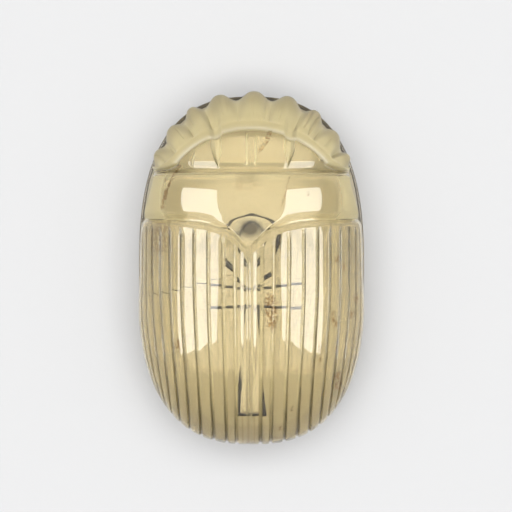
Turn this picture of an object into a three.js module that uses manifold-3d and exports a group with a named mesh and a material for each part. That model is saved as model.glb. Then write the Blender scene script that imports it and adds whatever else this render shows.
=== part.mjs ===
// A scarab amulet carved from one clear, pale yellow stone: a beetle on an oval slab.
// Millimetres, +Z up. The slab's flat underside lies on z = 0, the head points along +Y, and the
// origin is under the middle of the amulet.

import * as THREE from 'three';
import { mergeVertices } from 'three/addons/utils/BufferGeometryUtils.js';
import Module from 'manifold-3d';

// Overall form
const LENGTH = 50; // tail to the tip of the frill's middle lobe
const WIDTH = 32.3;
const HEIGHT = 20;
const GIRTH_HEIGHT = 7; // the widest line of the body, where back and flank meet
const SLAB_HEIGHT = 3;
const OUTLINE_POWER = 2.6; // squareness of the oval
const TAIL_OVERHANG = 0.1; // the tail past the slab
const LOBE_OVERHANG = 0.5; // the middle lobes of the frill past the slab
const FRONT_SETBACK = 0.35; // the front half of the body inside the slab's edge
const NICK_DEPTH = 0.45; // nicks in the outline where the collar meets its neighbours
const NICK_WIDTH = 0.5;

// Wing cases
const GROOVE_WIDTH = 0.66;
const GROOVE_DEPTH = 0.36;
const SUTURE_OFFSET = -0.4; // the suture lies a little left of the middle
const SUTURE_RIM = 0.85; // suture to the rim's groove on each side
const FIRST_GROOVE = 1.85; // suture to the first long groove
const FAN_START = 12.3; // degrees round the back to the next groove
const FAN_STEP = 7.75; // degrees from groove to groove
const FAN_COUNT = 9;
const TAIL_CONVERGENCE = 0.1; // how far the grooves draw together towards the tail
const EDGE_FOLLOW = 8; // how closely only the outermost grooves follow the outline
const RIM_WIDTH = 0.8; // smooth rim at the front of each wing case
const RIM_DROP = 0.45; // how far the front rims roll down to the collar

// Collar between wing cases and head
const COLLAR_REAR = 6.9; // its rear edge at the sides, from the middle of the amulet
const COLLAR_FRONT = 12.75;
const POINT_DROP = 4.3; // how far the rear edge dips to the point over the suture
const POINT_SPREAD = 3.0;
const COLLAR_SWELL = 0.5; // height of the swelling above the dome
const COLLAR_CREST = 1.85; // from the front edge back to its crest
const ROLL_LENGTH = 5; // how far the swelling rolls down from the crest
const ROLL_DROP = 1.5; // and how deep
const BEVEL_WIDTH = 1.2;
const BEVEL_DROP = 0.35;
const FRONT_DROP = 0.05; // the swelling's fall to its front edge

// Head
const HEAD_REAR = 13.4;
const HEAD_SINK = 1.5; // depth of the groove between collar and head
const HEAD_CROWN = 1.6; // from the head's rear line to its blunt crown
const HEAD_LIFT = -0.45; // the face, measured from the dome
const FACE_CENTRE = 5.9; // centre of the arc that bounds the face
const FACE_RADIUS = 13.85;
const FACE_ARC = 51; // degrees to each side
const FACE_TAPER = 0.93; // the face's width at the rear line, as a share of the arc's
const FACE_END = 0.2; // width of the plain band beside the arc's ends
const FACE_STEP = 0.35; // depth of the line along the arc
const STRIP_WIDTH = 1.0; // raised strip outside the arc
const STRIP_RISE = 0.25; // and its height over the face
const NOTCH_WIDTH = 1.8; // the two long notches in the face
const NOTCH_DEPTH = 0.6;
const NOTCH_CLEARANCE = 0.8; // their pointed ends, in front of the rear line
const RIB_WIDTH = 1.3; // the pair of lines down the middle of the face
const RIB_DEPTH = 0.22;

// Frill of nine lobes: the valleys between them, in degrees from the head's axis
const LOBE_VALLEYS = [-59.1, -47.2, -33.3, -22, -6.9, 9.2, 24.1, 36.2, 50.1, 59.4];
const SCALLOP_DEPTH = 1.3; // how far the valleys cut in from the outline
const VALLEY_DEPTH = 0.55; // how deep the valleys run over the frill
const LOBE_ROUNDNESS = 1.3;
const LOBE_SPREAD = 24; // degrees from the axis over which the lobes stand past the slab
const END_SHALLOWING = 0.45; // how much shallower the scallops get towards the frill's ends

// Flanks and slab
const LIP_DROP = 0.9; // thickness of the edge that overhangs the flank
const UNDERCUT = 2.1;
const SLAB_EDGE = 0.3; // rounding of the slab's edges
const LEG_RELIEF = 1.5;
const LEG_WIDTH = 1.5;
const LEG_STEP = 0.35; // depth of the cut at the knee

// Looped cross engraved in the underside, in outline
const ENGRAVING_DEPTH = 0.2;
const ENGRAVING_WIDTH = 0.3;
const LOOP_TOP = 8.65;
const LOOP_HALF_WIDTH = 3.2;
const LOOP_BAND = 1.6;
const CROSS_TOP = -2.8;
const CROSS_BAR = 1.9;
const CROSS_FLARE = 0.6;
const CROSS_HALF_WIDTH = 4.4;
const STEM_FOOT = -17.4;
const STEM_HALF_WIDTH = 0.85;
const STEM_FLARE = 0.8;

// Fineness of the facets
const COLUMNS_PER_LOBE = 8;
const ELYTRA_ROWS = 12;
const COLLAR_ROWS = 5;
const FACE_ROWS = 4;
const FRILL_ROWS = 4;
const LOOP_STEPS = 14;

const REAR = -LENGTH / 2;
const SLAB_REAR = REAR + TAIL_OVERHANG;
const SLAB_FRONT = LENGTH / 2 - LOBE_OVERHANG;
const CENTRE_Y = (SLAB_FRONT + SLAB_REAR) / 2;
const HALF_LENGTH = (SLAB_FRONT - SLAB_REAR) / 2;
const HALF_WIDTH = WIDTH / 2;
const DOME_HEIGHT = HEIGHT - GIRTH_HEIGHT;
const COLUMNS = COLUMNS_PER_LOBE * (LOBE_VALLEYS.length - 1);

const radians = THREE.MathUtils.degToRad;
const lerp = THREE.MathUtils.lerp;
const clamp = THREE.MathUtils.clamp;
const smooth = (x, low, high) => THREE.MathUtils.smoothstep(x, low, high);
const bump = (x, width) => Math.exp(-((x / width) ** 2));

// The slab's oval as a measure: 1 on the outline, less inside.
function slabMeasure(x, y) {
  const across = Math.abs(x / HALF_WIDTH) ** OUTLINE_POWER;
  const along = Math.abs((y - CENTRE_Y) / HALF_LENGTH) ** OUTLINE_POWER;
  return (across + along) ** (1 / OUTLINE_POWER);
}

// The body's outline as a share of the slab's: level with it behind, set back in front, and
// nicked where the collar meets its neighbours.
function bodyShare(y) {
  const setback = FRONT_SETBACK * smooth(y, REAR / 3, 0) - TAIL_OVERHANG * smooth(-y, 0, LENGTH / 3);
  const nicks = NICK_DEPTH * (bump(y - COLLAR_REAR, NICK_WIDTH) + bump(y - HEAD_REAR, NICK_WIDTH));
  return 1 - (setback + nicks) / HALF_WIDTH;
}

const bodyMeasure = (x, y) => slabMeasure(x, y) / bodyShare(y);

function bodyHalfWidth(y) {
  const along = Math.abs((y - CENTRE_Y) / (HALF_LENGTH * bodyShare(y))) ** OUTLINE_POWER;
  return HALF_WIDTH * bodyShare(y) * Math.max(0, 1 - along) ** (1 / OUTLINE_POWER);
}

// A direction square to the oval, in plan.
function outwards(x, y) {
  const power = OUTLINE_POWER - 1;
  const gx = (Math.sign(x) * Math.abs(x / HALF_WIDTH) ** power) / HALF_WIDTH;
  const gy = (Math.sign(y - CENTRE_Y) * Math.abs((y - CENTRE_Y) / HALF_LENGTH) ** power) / HALF_LENGTH;
  return new THREE.Vector2(gx, gy).normalize();
}

// A point on the dome over (x, y), lifted square to the dome; measure is 0 in the middle, 1 on the rim.
function onDome(x, y, lift, measure = bodyMeasure(x, y)) {
  const rim = Math.min(measure, 1);
  const rise = Math.sqrt(1 - rim * rim);
  const side = outwards(x, y).multiplyScalar((rim * DOME_HEIGHT) / HALF_WIDTH);
  const normal = new THREE.Vector3(side.x, side.y, rise).normalize();
  const foot = new THREE.Vector3(x, y, GIRTH_HEIGHT + DOME_HEIGHT * rise);
  return foot.addScaledVector(normal, lift);
}

// Long grooves, as angles round the back, from side to side.
function grooveAngles() {
  const side = [SUTURE_RIM, FIRST_GROOVE].map((x) => Math.asin(x / HALF_WIDTH));
  for (let k = 0; k < FAN_COUNT; k += 1) side.push(radians(FAN_START + k * FAN_STEP));
  return [...side.map((a) => -a).reverse(), 0, ...side];
}

// Columns of the back: one down each groove and one on each of its shoulders. The groove's own
// column is cut to the full depth.
function elytraColumns() {
  const shoulder = GROOVE_WIDTH / 2 / HALF_WIDTH;
  const columns = [{ angle: -Math.PI / 2, depth: 0 }];
  const angles = grooveAngles();
  angles.forEach((angle) => {
    columns.push({ angle: angle - shoulder, depth: 0 });
    columns.push({ angle, depth: GROOVE_DEPTH });
    columns.push({ angle: angle + shoulder, depth: 0 });
  });
  columns.push({ angle: Math.PI / 2, depth: 0 });
  while (columns.length < COLUMNS + 1) {
    const gaps = columns.slice(1).map((c, i) => c.angle - columns[i].angle);
    const widest = gaps.indexOf(Math.max(...gaps));
    const angle = (columns[widest].angle + columns[widest + 1].angle) / 2;
    columns.splice(widest + 1, 0, { angle, depth: 0 });
  }
  return columns.map((c) => ({ share: Math.sin(c.angle), depth: c.depth }));
}

const BACK = elytraColumns();
const LAST = BACK.length - 1;

// Where a column of the back runs at a given y.
function columnX(share, y) {
  const edge = Math.abs(share) ** EDGE_FOLLOW;
  const spread = HALF_WIDTH * (1 - TAIL_CONVERGENCE * smooth(-y, 0, LENGTH / 2));
  return share * lerp(spread, bodyHalfWidth(y), edge) + SUTURE_OFFSET * (1 - share * share);
}

// The collar's rear edge: level at the sides, dipping to a point over the suture.
function collarRear(x) {
  const away = Math.hypot(x - SUTURE_OFFSET, 0.4) - 0.4;
  return COLLAR_REAR - POINT_DROP * Math.exp(-away / POINT_SPREAD);
}

function columnFront(share, setback) {
  let y = COLLAR_REAR;
  for (let k = 0; k < 12; k += 1) y = lerp(y, collarRear(columnX(share, y)) - setback, 0.7);
  return y;
}

function columnTail(share) {
  const inner = clamp(share, -0.9999, 0.9999);
  let low = REAR;
  let high = 0;
  for (let k = 0; k < 40; k += 1) {
    const y = (low + high) / 2;
    if (bodyMeasure(columnX(inner, y), y) > 1) low = y;
    else high = y;
  }
  return (low + high) / 2;
}

// Wing cases, from the tail (t = 0) to their front rim (t = 1).
function elytraPoint(column, t) {
  const { share, depth } = BACK[column];
  const tail = columnTail(share);
  const front = columnFront(share, RIM_WIDTH * 1.4);
  const y = lerp(tail, front, 1 - Math.cos((t * Math.PI) / 2));
  return onDome(columnX(share, y), y, -depth * (1 - 0.6 * smooth(t, 0.93, 1)));
}

// The smooth front rim and the groove in front of it.
function rimPoint(column, setback, lift) {
  const { share } = BACK[column];
  const y = columnFront(share, setback);
  const x = columnX(share, y);
  const edge = smooth(Math.abs(x) / bodyHalfWidth(y), 0.85, 1);
  return onDome(x, y, lift * (1 - edge));
}

// Head columns, spread evenly over the lobes: the plan angle from the face's centre.
function lobeOf(column) {
  const place = (column / LAST) * (LOBE_VALLEYS.length - 1);
  const index = Math.min(Math.floor(place), LOBE_VALLEYS.length - 2);
  return { index, within: place - index };
}

function lobeAngle(column) {
  const { index, within } = lobeOf(column);
  return radians(lerp(LOBE_VALLEYS[index], LOBE_VALLEYS[index + 1], within));
}

function fromFace(angle, radius) {
  return new THREE.Vector2(Math.sin(angle) * radius, FACE_CENTRE + Math.cos(angle) * radius);
}

// The head's rear line, the arc that bounds the face with its two straight ends, and the
// scalloped edge of the frill, each at a column.
function headRear(column) {
  const arc = faceArc(column, 0);
  const end = bodyHalfWidth(HEAD_REAR);
  const corner = FACE_RADIUS * Math.sin(radians(FACE_ARC));
  const inner = corner * FACE_TAPER;
  const away = Math.abs(arc.x);
  const x = away <= corner ? (away / corner) * inner : lerp(inner, end, (away - corner) / (end - corner));
  return new THREE.Vector2(Math.sign(arc.x) * Math.min(x, end), HEAD_REAR);
}

function faceArc(column, out) {
  const { index, within } = lobeOf(column);
  const last = LOBE_VALLEYS.length - 2;
  const radius = FACE_RADIUS + out;
  if (index > 0 && index < last) return fromFace(lobeAngle(column), radius);
  const side = index === 0 ? -1 : 1;
  const along = index === 0 ? 1 - within : within; // 0 at the inner valley, 1 at the outline
  const valley = Math.abs(radians(index === 0 ? LOBE_VALLEYS[1] : LOBE_VALLEYS[last]));
  const corner = fromFace(radians(FACE_ARC), radius);
  if (along < 0.3) {
    const point = fromFace(lerp(valley, radians(FACE_ARC), along / 0.3), radius);
    return new THREE.Vector2(side * point.x, point.y);
  }
  const endY = HEAD_REAR + FACE_END + out * 0.12;
  const share = (along - 0.3) / 0.7;
  return new THREE.Vector2(side * lerp(corner.x, bodyHalfWidth(endY), share), lerp(corner.y, endY, share));
}

function frillEdge(column) {
  const angle = lobeAngle(column);
  const { within } = lobeOf(column);
  const direction = new THREE.Vector2(Math.sin(angle), Math.cos(angle));
  let radius = 0;
  for (let step = LENGTH / 2; step > 0.001; step /= 2) {
    const x = direction.x * (radius + step);
    const y = FACE_CENTRE + direction.y * (radius + step);
    if (slabMeasure(x, y) < 1) radius += step;
  }
  const overhang = LOBE_OVERHANG * bump(angle, radians(LOBE_SPREAD));
  const shallower = 1 - END_SHALLOWING * (angle / radians(LOBE_VALLEYS[0])) ** 2;
  const scallop = SCALLOP_DEPTH * shallower * (0.5 + 0.5 * Math.cos(2 * Math.PI * within)) ** LOBE_ROUNDNESS;
  const ends = column === 0 || column === LAST ? 0.6 : 1;
  return fromFace(angle, radius + overhang - scallop * ends);
}

// The collar, from its rear edge (t = 0) over the swelling to its front edge (t = 1). Its columns
// shift from those of the back to those of the head.
function collarPoint(column, t, onBevel) {
  const share = BACK[column].share;
  const back = columnX(share, columnFront(share, 0));
  const head = headRear(column).x;
  const rear = columnFront(share, 0);
  const start = onBevel ? rear : rear + BEVEL_WIDTH;
  const end = onBevel ? rear + BEVEL_WIDTH : COLLAR_FRONT;
  const y = lerp(start, end, t);
  const band = (y - rear) / (COLLAR_FRONT - rear);
  const x = lerp(back, head, smooth(band, 0, 1));
  const rim = bodyHalfWidth(y);
  const rolled = Math.abs(COLLAR_FRONT - COLLAR_CREST - y) / ROLL_LENGTH;
  const swell = COLLAR_SWELL - (ROLL_DROP * rolled ** 2) / Math.sqrt(1 + rolled ** 4);
  const lift = onBevel ? swell - BEVEL_DROP * (1 - t) : swell - FRONT_DROP * smooth(band, 0.85, 1);
  const edge = smooth(Math.abs(x) / rim, 0.75, 1);
  return onDome(clamp(x, -rim, rim), y, lift * (1 - edge));
}

// A cut that is widest near its outer end and comes to a point at its inner end.
function notchDepth(x, y) {
  const along = (y - HEAD_REAR - NOTCH_CLEARANCE) / (FACE_CENTRE + FACE_RADIUS - HEAD_REAR);
  if (along <= 0) return 0;
  const half = (NOTCH_WIDTH / 2) * Math.min(1, along * 2.5);
  const cuts = [LOBE_VALLEYS[3], LOBE_VALLEYS[6]].map((valley) => {
    const top = fromFace(radians(valley), FACE_RADIUS);
    const axis = lerp(top.x * FACE_TAPER, top.x, along);
    return clamp(1.5 * (1 - Math.abs(x - axis) / half), 0, 1);
  });
  return NOTCH_DEPTH * Math.max(...cuts);
}

// The face, from the head's rear line (t = 0) to the arc (t = 1).
function facePoint(column, t) {
  const rear = headRear(column);
  const arc = faceArc(column, 0);
  const plan = rear.clone().lerp(arc, t);
  const rise = smooth(plan.y, HEAD_REAR, HEAD_REAR + HEAD_CROWN);
  const rib = smooth(Math.abs(plan.x) / RIB_WIDTH, 0.2, 0.5) - smooth(Math.abs(plan.x) / RIB_WIDTH, 0.5, 1);
  const lines = RIB_DEPTH * rib * smooth(t, 0.15, 0.3);
  const edge = smooth(Math.abs(plan.x) / bodyHalfWidth(plan.y), 0.85, 1);
  const step = FACE_STEP * smooth(t, 0.8, 1);
  const lift = lerp(-HEAD_SINK, HEAD_LIFT, rise) - notchDepth(plan.x, plan.y) - lines - step;
  return onDome(plan.x, plan.y, lift * (1 - edge));
}

// The strip outside the arc and the frill, from t = 0 at the strip to t = 1 at the scallops.
function frillPoint(column, t) {
  const start = faceArc(column, STRIP_WIDTH);
  const edge = frillEdge(column);
  const plan = start.clone().lerp(edge, t);
  const first = Math.min(bodyMeasure(start.x, start.y), 1);
  const { within } = lobeOf(column);
  const valley = Math.abs(2 * within - 1) ** 3;
  const lift = lerp(HEAD_LIFT + STRIP_RISE, 0, smooth(t, 0.6, 1)) - VALLEY_DEPTH * valley * Math.sin(Math.PI * t ** 0.7);
  const ends = smooth(first, 0.97, 1);
  const notch = notchDepth(plan.x, plan.y) * (1 - t);
  return onDome(plan.x, plan.y, (lift - notch) * (1 - ends), lerp(first, 1, t));
}

// Every row of the back, from tail to frill, as functions of the column.
function topRows() {
  const rows = [];
  for (let k = 0; k <= ELYTRA_ROWS; k += 1) rows.push((c) => elytraPoint(c, k / ELYTRA_ROWS));
  rows.push((c) => rimPoint(c, RIM_WIDTH, -0.08));
  rows.push((c) => rimPoint(c, RIM_WIDTH * 0.5, -0.08));
  rows.push((c) => rimPoint(c, RIM_WIDTH * 0.15, -RIM_DROP));
  for (const t of [0, 0.5, 1]) rows.push((c) => collarPoint(c, t, true));
  for (let k = 1; k <= COLLAR_ROWS; k += 1) rows.push((c) => collarPoint(c, k / COLLAR_ROWS, false));
  for (let k = 0; k <= FACE_ROWS; k += 1) rows.push((c) => facePoint(c, (k / FACE_ROWS) ** 1.3));
  for (let k = 0; k <= FRILL_ROWS; k += 1) {
    rows.push((c) => frillPoint(c, Math.sin(((k / FRILL_ROWS) * Math.PI) / 2)));
  }
  return rows;
}

// Folded legs as ridges on the flank: three a side, each from a hip to a foot, in degrees round
// the amulet from the head and in shares of the flank's height from the girth down.
const LEGS = [
  { hip: [62, 0.35], foot: [14, 0.85] },
  { hip: [72, 0.4], foot: [118, 0.85] },
  { hip: [98, 0.35], foot: [163, 0.85] },
];

function legRelief(x, y, down) {
  const angle = THREE.MathUtils.radToDeg(Math.atan2(Math.abs(x), y - CENTRE_Y));
  const arc = radians(1) * ((HALF_LENGTH + HALF_WIDTH) / 2);
  const high = GIRTH_HEIGHT - SLAB_HEIGHT;
  const reliefs = LEGS.map(({ hip, foot }) => {
    const from = new THREE.Vector2(hip[0] * arc, hip[1] * high);
    const run = new THREE.Vector2(foot[0] * arc, foot[1] * high).sub(from);
    const here = new THREE.Vector2(angle * arc, down * high).sub(from);
    const along = clamp(here.dot(run) / run.lengthSq(), 0, 1);
    const away = here.sub(run.multiplyScalar(along)).length();
    const knee = LEG_STEP * bump((along - 0.5) * 10, 1);
    return Math.max(0, 1 - (away / LEG_WIDTH) ** 2) * (LEG_RELIEF - knee);
  });
  return Math.max(...reliefs);
}

// Where the ray from the middle through a point of the girth meets the slab's outline.
function slabUnder(girth) {
  const reach = 1 / slabMeasure(girth.x, girth.y);
  return new THREE.Vector2(girth.x * reach, CENTRE_Y + (girth.y - CENTRE_Y) * reach);
}

// A point of the flank under the girth point: down runs from 0 at the girth to 1 on the slab.
function flankPoint(girth, down) {
  const slab = slabUnder(girth);
  const out = outwards(slab.x, slab.y);
  const depth = (UNDERCUT - legRelief(girth.x, girth.y, down)) * smooth(down, 0.1, 0.45);
  const base = new THREE.Vector2(girth.x, girth.y).lerp(slab, smooth(down, 0, 0.5));
  const z = lerp(girth.z, SLAB_HEIGHT, down);
  return new THREE.Vector3(base.x - out.x * depth, base.y - out.y * depth, z);
}

function slabPoint(girth, inset, z) {
  const edge = slabUnder(girth);
  const out = outwards(edge.x, edge.y);
  return new THREE.Vector3(edge.x - out.x * inset, edge.y - out.y * inset, z);
}

// Vertices and triangles of one closed surface.
class Surface {
  constructor() {
    this.points = [];
    this.triangles = [];
  }

  add(points) {
    const first = this.points.length;
    this.points.push(...points);
    return points.map((_, k) => first + k);
  }

  quad(a, b, c, d) {
    this.triangles.push([a, b, c], [a, c, d]);
  }

  // A closed band between two rings with as many points, wound outwards when upper lies above.
  band(upper, lower) {
    upper.forEach((_, k) => {
      const next = (k + 1) % upper.length;
      this.quad(upper[k], lower[k], lower[next], upper[next]);
    });
  }

  // The same from a ring to one with half as many points.
  halvingBand(upper, lower) {
    lower.forEach((_, k) => {
      const next = (k + 1) % lower.length;
      const [a, b, c] = [2 * k, 2 * k + 1, (2 * k + 2) % upper.length].map((i) => upper[i]);
      this.triangles.push([a, lower[k], b], [b, lower[k], lower[next]], [b, lower[next], c]);
    });
  }

  geometry() {
    const geometry = new THREE.BufferGeometry();
    const flat = this.points.flatMap((p) => [p.x, p.y, p.z]);
    geometry.setAttribute('position', new THREE.Float32BufferAttribute(flat, 3));
    geometry.setIndex(this.triangles.flat());
    return geometry;
  }
}

function amuletGeometry() {
  const surface = new Surface();
  const rows = topRows().map((row) => surface.add(BACK.map((_, column) => row(column))));
  for (let r = 0; r + 1 < rows.length; r += 1) {
    for (let c = 0; c < LAST; c += 1) surface.quad(rows[r][c], rows[r][c + 1], rows[r + 1][c + 1], rows[r + 1][c]);
  }
  const right = rows.slice(1).map((row) => row[LAST]);
  const front = rows.at(-1).slice(0, LAST).reverse();
  const left = rows.slice(1, -1).map((row) => row[0]).reverse();
  const girth = [...rows[0], ...right, ...front, ...left];
  if (girth.length % 2) throw new Error('the girth needs an even number of points');
  const points = girth.map((index) => surface.points[index]);
  const lip = surface.add(points.map((p) => flankPoint(p, LIP_DROP / (GIRTH_HEIGHT - SLAB_HEIGHT))));
  surface.band(girth, lip);
  const half = points.filter((_, k) => k % 2 === 0);
  let upper = lip;
  for (const down of [0.36, 0.48, 0.6, 0.74, 0.88, 1]) {
    const lower = surface.add(half.map((p) => flankPoint(p, down)));
    if (upper === lip) surface.halvingBand(upper, lower);
    else surface.band(upper, lower);
    upper = lower;
  }
  const slabRings = [
    [SLAB_EDGE, SLAB_HEIGHT],
    [0, SLAB_HEIGHT - SLAB_EDGE],
    [SLAB_EDGE / 2, SLAB_EDGE],
    [SLAB_EDGE * 1.5, 0],
  ];
  slabRings.forEach(([inset, z]) => {
    const lower = surface.add(half.map((p) => slabPoint(p, inset, z)));
    surface.band(upper, lower);
    upper = lower;
  });
  const [centre] = surface.add([new THREE.Vector3(0, CENTRE_Y, 0)]);
  upper.forEach((index, k) => surface.triangles.push([index, centre, upper[(k + 1) % upper.length]]));
  return surface.geometry();
}

// The engraving's lines, each a list of plan points.
function emblemLines() {
  const loopBase = CROSS_TOP;
  const loop = (inset) => {
    const points = [];
    const top = LOOP_TOP - inset;
    const wide = LOOP_HALF_WIDTH - inset;
    const base = loopBase + inset * 1.6;
    for (let k = 0; k <= LOOP_STEPS; k += 1) {
      const turn = lerp(0.06, 0.94, k / LOOP_STEPS) * 2 * Math.PI;
      const height = (1 - Math.cos(turn)) / 2;
      const x = -Math.sin(turn) * wide * (0.55 + 0.45 * height ** 0.7);
      points.push(new THREE.Vector2(x, lerp(base, top, height)));
    }
    return points;
  };
  const bottom = CROSS_TOP - CROSS_BAR;
  const lines = [loop(0), loop(LOOP_BAND)];
  for (const side of [-1, 1]) {
    const end = side * CROSS_HALF_WIDTH;
    const stem = side * STEM_HALF_WIDTH;
    lines.push([new THREE.Vector2(side * 0.2, CROSS_TOP), new THREE.Vector2(end, CROSS_TOP + CROSS_FLARE)]);
    lines.push([
      new THREE.Vector2(end, bottom - CROSS_FLARE),
      new THREE.Vector2(stem, bottom),
      new THREE.Vector2(side * (STEM_HALF_WIDTH + STEM_FLARE), STEM_FOOT),
      new THREE.Vector2(side * 0.1, STEM_FOOT),
    ]);
  }
  return lines;
}

// One line as a closed bar of square section through its points, standing through the underside.
function lineGeometry(line) {
  const surface = new Surface();
  const half = ENGRAVING_WIDTH / 2;
  const rings = line.map((point, k) => {
    const run = (from) => line[from + 1].clone().sub(line[from]).normalize();
    const before = run(Math.max(k - 1, 0));
    const after = run(Math.min(k, line.length - 2));
    const along = before.clone().add(after).normalize();
    const mitre = half / Math.max(along.dot(after), 0.5);
    const side = new THREE.Vector2(-along.y, along.x).multiplyScalar(mitre);
    const corner = (sign, z) => new THREE.Vector3(point.x + sign * side.x, point.y + sign * side.y, z);
    const deep = ENGRAVING_DEPTH;
    return surface.add([corner(1, -deep), corner(-1, -deep), corner(-1, deep), corner(1, deep)]);
  });
  for (let k = 0; k + 1 < rings.length; k += 1) surface.band(rings[k], rings[k + 1]);
  const last = rings.at(-1);
  surface.quad(...rings[0]);
  surface.quad(...last.reverse());
  return surface.geometry();
}

const wasm = await Module();
wasm.setup();

function solidOf(geometry) {
  const merged = mergeVertices(geometry, 1e-5);
  return new wasm.Manifold(
    new wasm.Mesh({
      numProp: 3,
      vertProperties: new Float32Array(merged.attributes.position.array),
      triVerts: new Uint32Array(merged.index.array),
    }),
  );
}

function geometryOf(solid) {
  const mesh = solid.getMesh();
  const geometry = new THREE.BufferGeometry();
  geometry.setAttribute('position', new THREE.BufferAttribute(mesh.vertProperties, 3));
  geometry.setIndex(new THREE.BufferAttribute(mesh.triVerts, 1));
  geometry.computeVertexNormals();
  return geometry;
}

let stone = solidOf(amuletGeometry());
emblemLines().forEach((line) => {
  stone = stone.subtract(solidOf(lineGeometry(line)));
});

const material = new THREE.MeshStandardMaterial({ color: 0xd8c88f, roughness: 0.1, metalness: 0 });
const scarab = new THREE.Mesh(geometryOf(stone), material);
scarab.name = 'scarab';

const amulet = new THREE.Group();
amulet.add(scarab);

export default amulet;
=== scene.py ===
"""A scarab amulet carved from one clear, pale yellow stone, seen from straight above.

The stone is modelled by classes for its parts, in millimetres: a dome on an oval, the wing cases
with their long grooves, the collar, the head with its frill, the flanks with folded legs, the slab
and the figure engraved under it. Each part gives rows of points that run from side to side, and
the amulet joins them into one closed mesh.
"""

from __future__ import annotations

import logging
import math
from dataclasses import dataclass, field
from enum import Enum
from typing import Any

import bpy
import numpy as np
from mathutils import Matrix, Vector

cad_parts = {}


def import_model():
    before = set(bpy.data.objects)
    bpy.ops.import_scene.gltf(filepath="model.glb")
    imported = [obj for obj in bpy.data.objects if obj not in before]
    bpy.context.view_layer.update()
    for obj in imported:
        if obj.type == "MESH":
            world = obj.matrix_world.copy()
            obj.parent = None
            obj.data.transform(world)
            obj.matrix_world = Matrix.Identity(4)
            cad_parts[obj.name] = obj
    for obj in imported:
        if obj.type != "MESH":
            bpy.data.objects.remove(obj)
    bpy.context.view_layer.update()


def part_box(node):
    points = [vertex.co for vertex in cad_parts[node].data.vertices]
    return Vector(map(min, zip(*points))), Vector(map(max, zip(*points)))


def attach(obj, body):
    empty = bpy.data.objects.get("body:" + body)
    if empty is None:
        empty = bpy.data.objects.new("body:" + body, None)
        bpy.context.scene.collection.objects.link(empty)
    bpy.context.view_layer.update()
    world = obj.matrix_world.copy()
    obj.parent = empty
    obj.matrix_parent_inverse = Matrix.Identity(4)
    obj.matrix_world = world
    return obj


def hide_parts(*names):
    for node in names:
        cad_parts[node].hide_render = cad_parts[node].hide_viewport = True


LOG = logging.getLogger("scarab")
MM = 0.001
SEED = 11


class Ground(Enum):
    """How finely a surface is finished, as a share: 0 is polished and 1 is ground matt."""

    POLISHED = 0.0
    WORN = 0.15
    GROOVE = 0.3
    CUT = 0.75
    MATT = 1.0


@dataclass
class Row:
    """One row of the back, from the left edge to the right edge.

    Attributes:
        points: The row's points, as an array of three columns.
        ground: How matt each point is, from 0 to 1.
        soil: How much grime and painted shade each point carries, from 0 to 1.
    """

    points: np.ndarray
    ground: np.ndarray
    soil: np.ndarray | float = 0.0


def smooth(x: Any, low: float, high: float) -> Any:
    """Rises from 0 at low to 1 at high, with level ends."""
    t = np.clip((x - low) / (high - low), 0, 1)
    return t * t * (3 - 2 * t)


def bump(x: Any, width: float) -> Any:
    """A bell of height 1 around 0."""
    return np.exp(-((x / width) ** 2))


def blend(a: Any, b: Any, t: Any) -> Any:
    """The value that lies at share t of the way from a to b."""
    return a + (b - a) * t


def cut(
    x: np.ndarray, y: np.ndarray, start: tuple[float, float], end: tuple[float, float], width: float
) -> np.ndarray:
    """A pointed V cut between two points, as a share of its full depth.

    Args:
        x: Places across the amulet.
        y: Places along it.
        start: The cut's first end.
        end: Its other end.
        width: The cut's width in its middle.

    Returns:
        1 in the bottom of the cut, 0 outside it.
    """
    run = np.subtract(end, start)
    along = ((x - start[0]) * run[0] + (y - start[1]) * run[1]) / (run @ run)
    away = np.abs((x - start[0]) * run[1] - (y - start[1]) * run[0]) / math.hypot(*run)
    half = width / 2 * np.sqrt(np.clip(4 * along * (1 - along), 0.0001, 1))
    return np.where((along > 0) & (along < 1), np.clip(1 - away / half, 0, 1), 0)


@dataclass(frozen=True)
class Oval:
    """The oval of the slab, a superellipse.

    Attributes:
        half_width: Half its width.
        half_length: Half its length.
        centre_y: Its centre, along the amulet.
        power: Its squareness.
    """

    half_width: float
    half_length: float
    centre_y: float
    power: float = 2.6

    def measure(self, x: Any, y: Any) -> Any:
        """The oval's measure, which is 1 on the outline and less inside.

        Args:
            x: Places across the amulet.
            y: Places along it.

        Returns:
            The measure at each place.
        """
        across = np.abs(x / self.half_width) ** self.power
        along = np.abs((y - self.centre_y) / self.half_length) ** self.power
        return (across + along) ** (1 / self.power)

    def outwards(self, x: Any, y: Any) -> tuple[Any, Any]:
        """The direction square to the oval, of length 1.

        Args:
            x: Places across the amulet.
            y: Places along it.

        Returns:
            Its parts across and along the amulet.
        """
        p = self.power - 1
        dy = y - self.centre_y
        gx = np.sign(x) * np.abs(x / self.half_width) ** p / self.half_width
        gy = np.sign(dy) * np.abs(dy / self.half_length) ** p / self.half_length
        size = np.maximum(np.hypot(gx, gy), 1e-12)
        return gx / size, gy / size

    def under(self, x: Any, y: Any) -> tuple[Any, Any]:
        """Where the ray from the middle through a point meets the outline."""
        reach = 1 / self.measure(x, y)
        return x * reach, self.centre_y + (y - self.centre_y) * reach


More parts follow.
